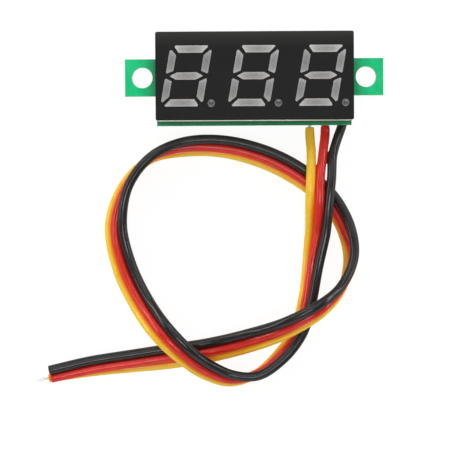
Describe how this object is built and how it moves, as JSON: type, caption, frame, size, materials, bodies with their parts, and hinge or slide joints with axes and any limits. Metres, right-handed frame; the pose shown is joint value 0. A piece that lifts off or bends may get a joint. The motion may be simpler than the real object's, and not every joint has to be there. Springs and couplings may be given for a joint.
{
  "type": "digital panel meter",
  "caption": "Small panel voltmeter: slanted seven-segment display on a green board with two screw ears, and a knotted three-core lead with bare ends.",
  "frame": {"origin": "on the surface below the meter, under the middle of the board, measured without the lead", "axes": "+X along the board to the right of the digits, +Y up the digits, +Z out of the display's face"},
  "size_m": [0.0409, 0.0416, 0.009],
  "materials": {
    "housing_white": "satin off-white moulded case",
    "mask_black": "satin black mask printed over the case's front",
    "light_bar": "cast pale grey diffusing resin, flush with the face",
    "decimal_point": "cast grey diffusing resin",
    "display_laminate": "pale glass-fibre laminate",
    "led_die": "small semiconductor dies under resin",
    "pin_metal": "tinned square pins",
    "board_green": "bright green solder mask on glass-fibre laminate",
    "solder": "solder cones, smooth and bright",
    "ic_black": "fine-textured moulding compound, unmarked",
    "lead_metal": "tinned formed leads",
    "trimmer_white": "off-white moulded base",
    "trimmer_brass": "plated brass disc with a cross slot",
    "resistor_black": "black glazed coat on a chip, unmarked",
    "capacitor_tan": "tan fired body",
    "pad_copper": "flat copper pads",
    "conductor": "tinned stranded copper",
    "wire_yellow": "soft satin insulation, warm yellow",
    "wire_red": "soft satin insulation, red",
    "wire_black": "soft satin insulation, black"
  },
  "bodies": {
    "meter": {"display_housing": "housing_white", "face_mask": "mask_black", "light_bars": "light_bar", "decimal_points": "decimal_point", "display_board": "display_laminate", "led_dies": "led_die", "display_pins": "pin_metal", "circuit_board": "board_green", "pin_solder": "solder", "controller_body": "ic_black", "controller_leads": "lead_metal", "regulator_body": "ic_black", "regulator_tabs": "lead_metal", "diode_body": "ic_black", "diode_tabs": "lead_metal", "trimmer_base": "trimmer_white", "trimmer_tabs": "lead_metal", "resistor_bodies": "resistor_black", "resistor_ends": "lead_metal", "capacitor_bodies": "capacitor_tan", "capacitor_ends": "lead_metal", "wire_pads": "pad_copper", "wire_solder": "solder", "wire_conductors": "conductor", "wire_yellow": "wire_yellow", "wire_red": "wire_red", "wire_black": "wire_black", "tail_conductor": "conductor"},
    "trimmer_rotor": {"trimmer_rotor": "trimmer_brass"}
  },
  "joints": [
    {"name": "trimmer_turn", "type": "hinge", "parent": "meter", "child": "trimmer_rotor", "pos_m": [-0.0092, 0.00015, 0.0004], "axis": [0, 0, 1], "range_deg": [-120, 120]}
  ]
}
